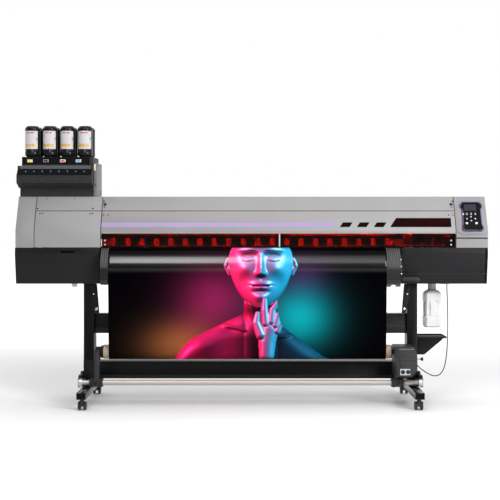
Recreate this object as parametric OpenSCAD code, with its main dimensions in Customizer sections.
// Wide-format roll-to-roll UV inkjet printer with a cut-off cutter, on a caster stand.
// Millimetres. +Z up, front of the machine towards -Y, +X to the operator's right.
// The origin is on the floor under the middle of the machine.

/* [Body] */
// Overall width of the machine
body_w = 2776; // [2760:4:2800]
// Height of the top of the body above the floor
top_z = 1218; // [1210:2:1226]
// Height of the underside of the body
under_z = 703; // [700:1:705]
// Wall of the moulded covers
wall = 4; // [3:0.5:5]
// Depth of the stand's feet, which is the depth of the machine
foot_l = 700; // [690:5:720]

/* [Media] */
// Width of the media
media_w = 1620; // [1580:10:1620]
// Radius of the rolled media on the supply spindle
supply_r = 75; // [60:1:80]
// Inside radius of a three-inch core
core_r = 38.1; // [38:0.05:38.3]
// Outside radius of the take-up core
takeup_core_r = 41; // [40.5:0.25:42]
// Outside radius of the media wound on the take-up core
takeup_r = 43; // [42.5:0.5:44]

/* [Feed] */
// Radius of the drive roller
grid_r = 14; // [13:0.5:14.5]
// Radius of each pinch roller
pinch_r = 11; // [10:0.5:11.5]
// Number of pinch rollers
pinch_n = 20; // [16:2:20]

/* [Ink] */
// Radius of an ink bottle
bottle_r = 45; // [40:1:47]
// Height of an ink bottle above its holder
bottle_h = 186; // [170:2:200]

/* [Stand] */
// Radius of a caster wheel
wheel_r = 24.5; // [23:0.5:25]
// Outside radius of the take-up pipe
pipe_r = 15.5; // [14.5:0.5:16]

/* [Hidden] */
$fn = 48;
// Radial clearance of every shaft that turns in a hole
fit = 0.05;
// Gap between faces of bodies that move past each other
gap = 0.3;
half_w = body_w / 2;
// The stand is centred a little left of the body
stand_x = -5.5;

// Front outline of the body, in Y and Z
gray_z = 916;
face = [-80, gray_z];
shoulder = [-82, 1020];
seam = [-28, 1133];
facet = [5, 1187];
crest = [17, top_z];
back_y = 330;
hood_z = 999;
seam_gap = 1.5;

// X limits of the covers
left_out = -1385;
left_cap_x = -1277;
left_in = -883;
right_cap_x = 1202;
box_in_l = -890;
box_in_r = 884;
box_back = 300;
inlet_x = 1245;

// Media path: two heated curves joined by a flat platen
bed_z = 925;
bend_r = 130;
front_bend = [-20, bed_z - bend_r];
rear_bend = [160, bed_z - bend_r];
plate = 4;
media_t = 1;
media_x0 = stand_x - 828;
supply = [235, 470];
takeup = [-70, 305];
grid = [130, bed_z - grid_r];
pinch = [130, bed_z + gap + media_t + gap + pinch_r];
pinch_pivot = [168, 958];
apron_foot = [-143, 707];
guide_foot_z = 720;

// Stand
foot_x = 955;
foot_w = 53;
foot_z0 = 65.5;
foot_z1 = 103;
pad_h = 2.5;
leg_x = 960;
leg_w = 61;
leg_d = 110;
caster_y = 310;
trail = 15;
pipe = [-130, 131];
pipe_end = 1001;

// Ink unit
ink_x = [-1311, -1206, -1101, -996];
ink_y = [62, 167];
ink_right = -941;
holder_z = 1454;

// Carriage, at its parking place on the right
car_x0 = 955;
car_x1 = 1145;

// Control panel: its plane follows the sloping front of the right end cap
panel_x = 1299;
panel_tilt = atan((facet[0] - shoulder[0]) / (facet[1] - shoulder[1]));

// Waste ink bottle, and the right side of the take-up motor box
waste = [1089, 108];
motor_x1 = 955;

// Switches on the motor box
toggle_x = [873, 903];
toggle_z = 202;
knob = [-106, 266];

// Take-up signal cable
cable_d = 6;
cable_route = [
    [955, -100, 236], [963, -100, 235], [973, -99, 226], [986, -98, 213], [1003, -96, 200],
    [1022, -94, 187], [1043, -91, 175], [1064, -88, 167], [1086, -84, 166], [1106, -80, 174],
    [1122, -75, 192], [1134, -70, 218], [1143, -64, 252], [1150, -57, 300], [1155, -49, 355],
    [1158, -41, 412], [1160, -33, 470], [1161, -25, 528], [1161, -18, 584], [1160, -13, 636],
    [1159, -10, 680], [1159, -10, 702.7]];

// ---- helpers ----

// Extrudes an outline drawn in Y and Z from x0 to x1
module along_x(x0, x1) translate([x0, 0, 0]) rotate([90, 0, 90]) linear_extrude(x1 - x0) children();

// Extrudes an outline drawn in X and Z from y0 to y1
module along_y(y0, y1) translate([0, y1, 0]) rotate([90, 0, 0]) linear_extrude(y1 - y0) children();

// A block given by its lowest and highest corners
module block(lo, hi) translate(lo) cube(hi - lo);

// A round bar along X
module rod_x(x0, x1, centre, r) translate([x0, centre[0], centre[1]]) rotate([0, 90, 0])
    cylinder(r = r, h = x1 - x0);

// A round bar along Z
module rod_z(z0, z1, centre, r) translate([centre[0], centre[1], z0]) cylinder(r = r, h = z1 - z0);

// Both sides of the stand
module each_side() {
    translate([stand_x, 0, 0]) children();
    translate([stand_x, 0, 0]) mirror([1, 0, 0]) children();
}

function reversed(list) = [for (i = [len(list) - 1:-1:0]) list[i]];

// Points on an arc about c, from angle a0 to a1, in n steps
function arc(c, r, a0, a1, n) = [for (i = [0:n]) let (a = a0 + (a1 - a0) * i / n)
    c + r * [cos(a), sin(a)]];

// The point at height z on the line from p to q
function at_z(p, q, z) = [p[0] + (q[0] - p[0]) * (z - p[1]) / (q[1] - p[1]), z];

// A thin wall behind an outline that faces the front
module skin(points) polygon(concat(points, reversed([for (p = points) p + [wall, 0]])));

// ---- stand ----

module feet() color("dimgray") each_side() difference() {
    union() {
        block([foot_x - foot_w / 2, -foot_l / 2, foot_z0],
            [foot_x + foot_w / 2, foot_l / 2, foot_z1]);
        // Pad that a jack bears on
        block([foot_x - 22, -60, foot_z0 - pad_h], [foot_x + 22, 60, foot_z0]);
    }
    for (y = [-caster_y, caster_y]) rod_z(foot_z0 - 1, foot_z0 + 20, [foot_x, y], 6 + fit);
}

module legs() color("dimgray") each_side() {
    block([leg_x - leg_w / 2, 0, foot_z1 + 6], [leg_x + leg_w / 2, leg_d, under_z]);
    // Plate that is bolted to the foot
    block([leg_x - leg_w / 2, -60, foot_z1], [leg_x + leg_w / 2, leg_d + 60, foot_z1 + 6]);
    // Webs that brace the leg on its plate
    along_x(leg_x - 3, leg_x + 3) polygon([[-55, foot_z1 + 6], [0, foot_z1 + 6], [0, 190]]);
    along_x(leg_x - 3, leg_x + 3) polygon([[leg_d, foot_z1 + 6], [leg_d + 55, foot_z1 + 6],
        [leg_d, 190]]);
}

module cross_beams() color("dimgray") translate([stand_x, 0, 0]) {
    inner = leg_x - leg_w / 2;
    // Upper beam, with a lip along its lower edge
    block([-inner, 24, 437], [inner, 100, 521]);
    block([-inner, 20, 405], [inner, 100, 437]);
    // Lower beam, with a rib along its lower edge
    block([-inner, 4, 158], [inner, 110, 239]);
    block([-inner, 0, 138], [inner, 110, 158]);
}

module gusset_plates() color("dimgray") each_side() along_y(-6, 0)
    polygon([[950, 699], [911, 699], [898, 540], [898, 525], [917, 525], [926, 545]]);

module takeup_pipe() color("linen") translate([stand_x, 0, 0]) difference() {
    union() {
        rod_x(-pipe_end, pipe_end, pipe, pipe_r);
        // End caps
        for (s = [-1, 1]) rod_x(s * (pipe_end - 12) - 12, s * (pipe_end - 12) + 12, pipe, 22);
    }
    rod_x(-pipe_end + 6, pipe_end - 6, pipe, pipe_r - 2);
}

module pipe_brackets() color("#222222") each_side() difference() {
    union() {
        // Saddle that the pipe lies in, joined to a casting on the outer side of the leg
        along_x(964, 975) polygon([[-152, foot_z1], [-152, 118], [-140, 126], [-108, 152],
            [-96, 152], [-96, foot_z1]]);
        block([964, -107, foot_z1 + 3], [1009, -96, 124]);
        along_x(991, 1009) polygon([[-107, foot_z1 - 3], [-107, 150], [-84, 168], [-4, 168],
            [10, 180], [30, 180], [60, 140], [60, foot_z1 - 3]]);
    }
    rod_x(950, 980, pipe, pipe_r + fit);
}

module caster_fork(x, y) translate([x, y, 0]) color("#2a2a2a") {
    rod_z(30, foot_z0 + 15, [0, 0], 6);
    rod_z(50, foot_z0 - gap, [0, 0], 12);
    block([-7, -8, wheel_r - 8], [7, trail + 8, 52]);
    rod_x(-22, 22, [trail, wheel_r], 4);
}

module caster_wheels(x, y) translate([x, y, 0]) color("#3c3c3c") for (s = [-1, 1])
    difference() {
        rod_x(s * 16 - 8, s * 16 + 8, [trail, wheel_r], wheel_r);
        rod_x(-30, 30, [trail, wheel_r], 4 + fit);
    }

module caster_fork_fl() caster_fork(stand_x - foot_x, -caster_y);
module caster_fork_fr() caster_fork(stand_x + foot_x, -caster_y);
module caster_fork_rl() caster_fork(stand_x - foot_x, caster_y);
module caster_fork_rr() caster_fork(stand_x + foot_x, caster_y);
module caster_wheels_fl() caster_wheels(stand_x - foot_x, -caster_y);
module caster_wheels_fr() caster_wheels(stand_x + foot_x, -caster_y);
module caster_wheels_rl() caster_wheels(stand_x - foot_x, caster_y);
module caster_wheels_rr() caster_wheels(stand_x + foot_x, caster_y);

module bottle_tray() color("#1c1c1c") translate([stand_x, 0, 0]) {
    side = leg_x + leg_w / 2;
    difference() {
        block([side, 20, 374], [1168, 190, 386]);
        block([side + 8, 26, 378], [1160, 184, 400]);
    }
    for (y = [24, 180]) along_y(y, y + 6)
        polygon([[side, 374], [1148, 374], [1138, 362], [1036, 277], [side, 277]]);
}

// ---- frame and media path ----

module base_frame() color("gray") difference() {
    union() {
        block([-1380, 20, under_z + 5], [1380, 280, 790]);
        // End plates that carry the guide rail
        for (x = [-1296, 1290]) block([x, 120, 790], [x + 6, 285, 1065]);
        // Bearing plates of the drive roller
        for (x = [-888, 876]) block([x, 116, 790], [x + 6, 144, 924]);
    }
    rod_x(-900, 900, grid, 8 + fit);
    // Window for cables through each end plate
    for (x = [-1300, 1286]) block([x, 225, 840], [x + 20, 270, 940]);
}

module guide_rail() color("silver") {
    difference() {
        block([-1290, 150, 985], [1290, 215, 1060]);
        block([-1291, 158, 993], [1291, 207, 1052]);
    }
    // Ground track for the carriage's bearings
    block([-1285, 146, 1012], [1285, 150, 1032]);
}

module belt_drive() color("#303030") {
    // Toothed belt round two pulleys
    along_y(170, 180) difference() {
        union() {
            translate([-1240, 1082]) square([2480, 22]);
            for (x = [-1240, 1240]) translate([x, 1093]) circle(r = 11);
        }
        union() {
            translate([-1240, 1083.5]) square([2480, 19]);
            for (x = [-1240, 1240]) translate([x, 1093]) circle(r = 9.5);
        }
    }
    // Pulleys on their posts
    for (x = [-1240, 1240]) translate([x, 186, 1093]) rotate([90, 0, 0]) cylinder(r = 9.5, h = 20);
    for (x = [-1240, 1240]) block([x - 12, 186, 1060], [x + 12, 192, 1108]);
    // Motor behind the left pulley
    translate([-1240, 192, 1093]) rotate([-90, 0, 0]) cylinder(r = 24, h = 70);
}

module platen() color("#9a9ca0") difference() {
    block([-872, front_bend[0], bed_z - 30], [868, 112, bed_z]);
    // Slot that the cutter's blade runs in
    block([-873, front_bend[0] - 1, bed_z - 6], [869, front_bend[0] + 4, bed_z + 1]);
}

module apron_heater() color("#2b2a2c") along_x(-879, 868) polygon(concat(
    arc(front_bend, bend_r, 90, 180, 18), [apron_foot, apron_foot + [22, -4], apron_foot + [22, 0],
    apron_foot + [plate, 4]], arc(front_bend, bend_r - plate, 180, 90, 18)));

module rear_heater() color("#2b2a2c") along_x(-872, 868) polygon(concat(
    [[148, bed_z - plate], [148, bed_z]], arc(rear_bend, bend_r, 90, 0, 18),
    [[rear_bend[0] + bend_r, guide_foot_z], [rear_bend[0] + bend_r - plate, guide_foot_z]],
    arc(rear_bend, bend_r - plate, 0, 90, 18)));

// The path of the media at distance d from the plates it lies on
function web(d) = concat(
    [[supply[0] + supply_r + d, supply[1]], [rear_bend[0] + bend_r + d, guide_foot_z]],
    arc(rear_bend, bend_r + d, 0, 90, 18),
    arc(front_bend, bend_r + d, 90, 180, 18),
    [apron_foot + [-d, 0], [takeup[0] - takeup_r - d, takeup[1]]]);

module media_web() color("#15101c") along_x(media_x0, media_x0 + media_w)
    polygon(concat(web(gap), reversed(web(gap + media_t))));

module grid_roller() color("silver") {
    rod_x(-866, 862, grid, grid_r);
    rod_x(-892, 886, grid, 8);
}

pinch_pitch = 87.3;
pinch_span = (pinch_n - 1) * pinch_pitch;

module pinch_arms() color("#b02020") {
    rod_x(stand_x - pinch_span / 2 - 40, stand_x + pinch_span / 2 + 40, pinch_pivot, 6);
    for (i = [0:pinch_n - 1]) {
        x = stand_x - pinch_span / 2 + i * pinch_pitch;
        // Forked arm with the roller's pin between its cheeks
        difference() {
            along_x(x - 18, x + 18) polygon([[112, 930], [126, 929], [140, 931], [166, 950],
                [176, 954], [176, 964], [150, 968], [118, 967], [112, 961]]);
            block([x - 12.5, 100, 920], [x + 12.5, 143.5, 951]);
        }
        rod_x(x - 16, x + 16, pinch, 3);
    }
}

module pinch_rollers() color("#702020") for (i = [0:pinch_n - 1]) {
    x = stand_x - pinch_span / 2 + i * pinch_pitch;
    difference() {
        rod_x(x - 12, x + 12, pinch, pinch_r);
        rod_x(x - 20, x + 20, pinch, 3 + fit);
    }
}

module clamp_lever() color("#1c1c1e") {
    // Hub on the cross shaft, arm beside the right lower cover, and grip in front of it
    rod_x(871, 881, [-60, 890], 14);
    along_x(872, 880) polygon([[-74, 890], [-98, 850], [-112, 790], [-118, 748], [-118, 716],
        [-106, 716], [-104, 748], [-98, 790], [-86, 846], [-60, 876]]);
    rod_x(872, 980, [-114, 732], 13);
}

module capping_station() color("#555555") {
    block([905, 0, 812], [1190, 108, 900]);
    // One soft cap under each print head, and the wiper
    for (x = [985, 1050, 1115]) difference() {
        block([x - 26, 8, 900], [x + 26, 98, 924]);
        block([x - 22, 12, 910], [x + 22, 94, 930]);
    }
    block([925, 10, 900], [931, 96, 924]);
}

module electronics_box() color("lightsteelblue") difference() {
    union() {
        block([1120, 130, 795], [1286, box_back - wall, 905]);
        block([inlet_x - 25, box_back - wall, 820], [inlet_x + 25, box_back, 860]);
    }
    // Socket of the power inlet
    block([inlet_x - 14, box_back - 18, 830], [inlet_x + 14, box_back + 1, 850]);
}

// ---- carriage ----

module carriage() color("#4a4a4e") difference() {
    block([car_x0, -25, 985], [car_x1, 146 - gap, 1105]);
    block([car_x0 + 3, -22, 980], [car_x1 - 3, 130, 1102]);
    // Chamfer along the upper front edge
    along_x(car_x0 - 1, car_x1 + 1) polygon([[-26, 1085], [-5, 1106], [-26, 1106]]);
}

module print_heads() color("#8a8c90") for (x = [985, 1050, 1115]) {
    block([x - 24, 6, 935], [x + 24, 100, 1010]);
    block([x - 20, 10, 929], [x + 20, 96, 935]);
}

module uv_lamps() color("#6a6a70") for (x = [car_x0 - 45, car_x1]) {
    block([x, 0, 940], [x + 45, 100, 1080]);
    block([x + 6, 8, 933], [x + 39, 92, 940]);
}

module cutter() color("#2f2f33") {
    // Slider in front of the carriage, foot that reaches back under it, and blade
    block([990, -50, 962], [1016, -25 - gap, 1040]);
    block([990, -50, 946], [1016, -8, 962]);
    rod_z(928, 946, [1003, front_bend[0] + 2], 1.5);
}

// ---- covers ----

// Outline of a closed end of the body
function end_outline(w) = [[face[0] + w, gray_z - 0.01 * w], shoulder + [w, 0.5 * w],
    facet + [w, -0.5 * w], [crest[0] + w, top_z - w], [back_y - w, top_z - w],
    [back_y - w, gray_z - 0.01 * w]];

// The end caps are hollow and open towards the middle and below
module left_end_cap() color("#9a969b") difference() {
    along_x(left_out, left_cap_x) polygon(end_outline(0));
    along_x(left_out + wall, left_cap_x + 1) polygon(end_outline(wall));
    // Open underside
    block([left_out + wall, face[0] + wall, gray_z - 1], [left_cap_x + 1, back_y - wall, gray_z + 9]);
}

module right_end_cap() color("#9a969b") difference() {
    along_x(right_cap_x, half_w) polygon(end_outline(0));
    along_x(right_cap_x - 1, half_w - wall) polygon(end_outline(wall));
    // Open underside
    block([right_cap_x - 1, face[0] + wall, gray_z - 1], [half_w - wall, back_y - wall, gray_z + 9]);
    // Groove between the upper housing and the flap below it
    block([right_cap_x - 1, -90, 968], [half_w + 1, -80, 976]);
}

// Top of the body between x0 and x1: from the hood's seam over the crest to the back
module roof(x0, x1) along_x(x0, x1) polygon([seam, facet, crest, [back_y, top_z],
    [back_y, top_z - wall], [crest[0] + wall, top_z - wall], facet + [wall, -1],
    seam + [wall, 0]]);

module left_housing() color("#9a969b") roof(left_cap_x, left_in);
module top_cover() color("#9a969b") roof(left_in, right_cap_x);

module rear_cover() color("#8c888d") difference() {
    block([left_cap_x, back_y - wall, 960], [right_cap_x, back_y, top_z - wall]);
    // Rows of cooling slots
    for (x = [-1100:60:1100]) block([x, back_y - 10, 1120], [x + 40, back_y + 1, 1126]);
    for (x = [-1100:60:1100]) block([x, back_y - 10, 1140], [x + 40, back_y + 1, 1146]);
}

hood_top = at_z(shoulder, seam, seam[1] - seam_gap);

// A cover's rolled upper edge, which it turns on
bead_r = 1.2;

module front_cover() color("#9a969b") {
    along_x(left_in + 2, right_cap_x - 2) skin([at_z(face, shoulder, hood_z), shoulder, hood_top]);
    rod_x(left_in + 2, right_cap_x - 2, hood_top, bead_r);
}

module cover_window() color([0.5, 0.05, 0.05, 0.6]) block([left_in + 4, -77.5, 918],
    [right_cap_x - 4, -73.5, hood_z + 12]);

module left_maintenance_cover() color("#9a969b") {
    along_x(left_cap_x + 2, left_in - 2) skin([at_z(face, shoulder, 918), shoulder, hood_top]);
    rod_x(left_cap_x + 2, left_in - 2, hood_top, bead_r);
}

// Black cover under each end of the body, open on top and towards the middle
function box_outline() = [[-50, under_z], [-85, 878], [-80, gray_z], [box_back, gray_z],
    [box_back, under_z]];
function box_inside() = [[-50 + wall, under_z + wall], [-85 + wall, 872], [-55, 880],
    [-55, gray_z + 1], [box_back - wall, gray_z + 1], [box_back - wall, under_z + wall]];

module left_lower_cover() color("#3a383c") difference() {
    along_x(-half_w, box_in_l) polygon(box_outline());
    along_x(-half_w + wall, box_in_l + 1) polygon(box_inside());
    // Grip recess in the upper strip
    block([-1122, -90, 886], [-1044, -62, 906]);
}

module right_lower_cover() color("#3a383c") difference() {
    along_x(box_in_r, half_w) polygon(box_outline());
    along_x(box_in_r - 1, half_w - wall) polygon(box_inside());
    // Opening for the power inlet
    block([inlet_x - 25, box_back - 10, 820], [inlet_x + 25, box_back + 1, 860]);
    // Hole for the neck of the waste bottle
    rod_z(under_z - 1, under_z + wall + 1, waste, 24);
}

// ---- control panel ----

// Moves its children onto the sloping front of the right end cap, +Z out of the panel
module on_panel() translate([panel_x, shoulder[0], shoulder[1]]) rotate([90 - panel_tilt, 0, 0])
    children();

// Keys: place across and up the panel, and radius
keys = [[-49, 100, 4], [-28, 100, 4], [-3, 100, 4], [22, 100, 4], [-5, 83, 4], [-5, 57, 4],
    [-30, 70, 4], [19, 70, 4], [-33, 40, 7], [23, 40, 7]];

module panel_outline() polygon([[-52, -9], [52, -9], [64, 2], [64, 18], [57, 30], [57, 138],
    [66, 150], [66, 168], [52, 184], [-50, 184], [-64, 168], [-64, 150], [-56, 138], [-56, 30],
    [-62, 18], [-62, 2]]);

module panel_bezel() color("#1b1a20") on_panel() difference() {
    linear_extrude(9) panel_outline();
    // Display recess
    translate([-43, 123, 6]) cube([76, 46, 4]);
    for (k = keys) translate([k[0], k[1], 4]) cylinder(r = k[2] + gap, h = 6);
}

module keypad() color("#e8e4f0") on_panel() for (k = keys)
    translate([k[0], k[1], 5.5]) cylinder(r = k[2], h = 5.5);

// ---- ink unit ----

module ink_base() color("#353437") difference() {
    union() {
        // Skirt on the top of the body
        along_x(-1378, ink_right) polygon([[25, top_z], [25, 1290], [250, 1290], [250, top_z]]);
        along_x(-1364, ink_right) polygon([[25, 1270], [5, 1278], [5, 1454], [250, 1454],
            [250, 1270]]);
        // Overhanging block with the cartridge ports
        along_x(-1386, ink_right) polygon([[25, 1270], [-50, 1298], [-50, 1342], [-15, 1377],
            [-15, 1400], [25, 1400]]);
        block([-1386, 5, 1278], [-1364, 250, 1400]);
    }
    for (x = ink_x) for (y = ink_y) rod_z(holder_z - 40, holder_z + 1, [x, y], 18 + gap);
}

module ink_side_panel() color("#8f8b91") block([ink_right, 27, top_z], [-921, 250, 1420]);

// An inverted bottle: neck in the holder, chamfered shoulders, flat base on top
module ink_bottle(x, y) translate([x, y, holder_z + gap]) color("#26262a")
    rotate_extrude() polygon([[0, -36], [16, -36], [18, -34], [18, 0], [30, 0], [bottle_r, 14],
        [bottle_r, bottle_h - 10], [bottle_r - 10, bottle_h], [0, bottle_h]]);

module ink_bottle_1() ink_bottle(ink_x[0], ink_y[0]);
module ink_bottle_2() ink_bottle(ink_x[1], ink_y[0]);
module ink_bottle_3() ink_bottle(ink_x[2], ink_y[0]);
module ink_bottle_4() ink_bottle(ink_x[3], ink_y[0]);
module rear_ink_bottles() for (x = ink_x) ink_bottle(x, ink_y[1]);

// ---- rolls ----

module supply_bearings() color("#303032") {
    // Arm, flange and core plug at each end of the roll
    for (side = [[-876, -852, -834], [830, 806, 788]]) {
        lo = min(side[0], side[1]);
        hi = max(side[0], side[1]);
        block([lo, 100, 425], [hi, supply[0] + 45, 515]);
        rod_x(min(side[1], side[2] + sign(side[1] - side[2]) * 3),
            max(side[1], side[2] + sign(side[1] - side[2]) * 3), supply, 60);
        rod_x(min(side[1], side[2] - sign(side[1]) * 30), max(side[1], side[2] - sign(side[1]) * 30),
            supply, core_r - fit);
    }
}

module supply_roll() color("white") difference() {
    rod_x(media_x0, media_x0 + media_w, supply, supply_r);
    rod_x(media_x0 - 1, media_x0 + media_w + 1, supply, core_r);
}

module takeup_roll() color("wheat") {
    rod_x(-866, 817, takeup, takeup_core_r);
    rod_x(media_x0, media_x0 + media_w, takeup, takeup_r);
    // Core flanges, and the spindle that the motor turns
    rod_x(-882, -866, takeup, 39);
    rod_x(817, 825, takeup, 39);
    rod_x(825, 850, takeup, 12);
}

// Outline of an arm from the pipe up to the spindle
module arm_outline() union() {
    translate(takeup) circle(r = 30);
    polygon([[-150, 140], [-150, 312], [-140, 320], [-62, 334], [-40, 296], [-110, 230],
        [-110, 140]]);
}

module pipe_clamp(x0, x1) block([x0, pipe[0] - 25, pipe[1] - 22], [x1, pipe[0] + 25, pipe[1] + 23]);

module takeup_left_arm() color("#4c4c4e") difference() {
    union() {
        along_x(-913, -885) arm_outline();
        // Pad that the core flange runs against
        rod_x(-885, -882 - gap, takeup, 26);
        pipe_clamp(-941, -865);
    }
    rod_x(-1000, -800, pipe, pipe_r + fit);
}

module takeup_motor_box() color("#4c4c4e") difference() {
    union() {
        // Pillar, motor housing with a chamfered lower corner, and clamp
        along_x(832, 858) arm_outline();
        along_y(-200, -14) polygon([[832, 172], [924, 172], [motor_x1, 206], [motor_x1, 298],
            [motor_x1 - 14, 344], [832, 344]]);
        pipe_clamp(813, 887);
    }
    rod_x(800, 900, pipe, pipe_r + fit);
    rod_x(820, 856, takeup, 12 + fit);
    // Switch wells
    for (x = toggle_x) block([x - 6, -201, toggle_z - 10], [x + 6, -188, toggle_z + 10]);
    // Hole of the clamp screw
    rod_x(motor_x1 - 18, motor_x1 + 2, knob, 5 + fit);
}

module toggle_switches() color("#101010") for (x = toggle_x) {
    block([x - 4, -214, toggle_z - 5], [x + 4, -191, toggle_z + 5]);
    // Round hub that it rocks on
    rod_x(x - 4, x + 4, [-196, toggle_z], 5.5);
}

module clamp_knob() color("#141414") {
    rod_x(motor_x1 - 14, 987, knob, 5);
    rod_x(987, 1003, knob, 11);
}

module waste_bottle() color([0.95, 0.95, 0.95, 0.8]) translate([waste[0], waste[1], 0]) {
    // Square body with cut corners, waisted for the hand
    for (z = [[435, 500, 52], [500, 592, 47], [592, 640, 52]]) translate([0, 0, z[0]])
        linear_extrude(z[1] - z[0]) polygon([[-z[2], -z[2] + 12], [-z[2] + 12, -z[2]],
            [z[2] - 12, -z[2]], [z[2], -z[2] + 12], [z[2], z[2] - 12], [z[2] - 12, z[2]],
            [-z[2] + 12, z[2]], [-z[2], z[2] - 12]]);
    translate([0, 0, 640]) cylinder(r1 = 50, r2 = 24, h = 20);
    rod_z(660, 698, [0, 0], 21);
}

// ---- cable ----

// Catmull-Rom point on the route after point i, at t from 0 to 1
function smooth(p, i, t) =
    let (a = p[max(i - 1, 0)], b = p[i], c = p[i + 1], d = p[min(i + 2, len(p) - 1)])
    0.5 * ((2 * b) + (c - a) * t + (2 * a - 5 * b + 4 * c - d) * t * t
        + (3 * b - a - 3 * c + d) * t * t * t);

function centreline(p, n) = concat([for (i = [0:len(p) - 2]) for (k = [0:n - 1])
    smooth(p, i, k / n)], [p[len(p) - 1]]);

function unit(v) = v / norm(v);

// Sweeps a circle of n sides along a line of points
module tube(line, r, n) {
    last = len(line) - 1;
    rings = [for (i = [0:last])
        let (t = unit(line[min(i + 1, last)] - line[max(i - 1, 0)]),
            u = unit(cross(t, [0, 1, 0])), v = cross(u, t))
        for (k = [0:n - 1]) line[i] + r * (cos(360 * k / n) * u + sin(360 * k / n) * v)];
    sides = [for (i = [0:last - 1]) for (k = [0:n - 1])
        [i * n + k, i * n + (k + 1) % n, (i + 1) * n + (k + 1) % n, (i + 1) * n + k]];
    polyhedron(points = rings, faces = concat([[for (k = [n - 1:-1:0]) k]], sides,
        [[for (k = [0:n - 1]) last * n + k]]));
}

module signal_cable() color("#2c2c2c") tube(centreline(cable_route, 3), cable_d / 2, 10);

feet();
legs();
cross_beams();
gusset_plates();
takeup_pipe();
pipe_brackets();
base_frame();
left_lower_cover();
right_lower_cover();
left_housing();
left_end_cap();
right_end_cap();
panel_bezel();
top_cover();
rear_cover();
apron_heater();
platen();
rear_heater();
guide_rail();
belt_drive();
capping_station();
electronics_box();
ink_base();
ink_side_panel();
bottle_tray();
media_web();
signal_cable();
supply_bearings();
caster_fork_fl();
caster_fork_fr();
caster_fork_rl();
caster_fork_rr();
caster_wheels_fl();
caster_wheels_fr();
caster_wheels_rl();
caster_wheels_rr();
ink_bottle_1();
ink_bottle_2();
ink_bottle_3();
ink_bottle_4();
rear_ink_bottles();
front_cover();
cover_window();
left_maintenance_cover();
carriage();
print_heads();
uv_lamps();
cutter();
clamp_lever();
pinch_arms();
pinch_rollers();
grid_roller();
supply_roll();
takeup_left_arm();
takeup_motor_box();
takeup_roll();
toggle_switches();
clamp_knob();
waste_bottle();
keypad();
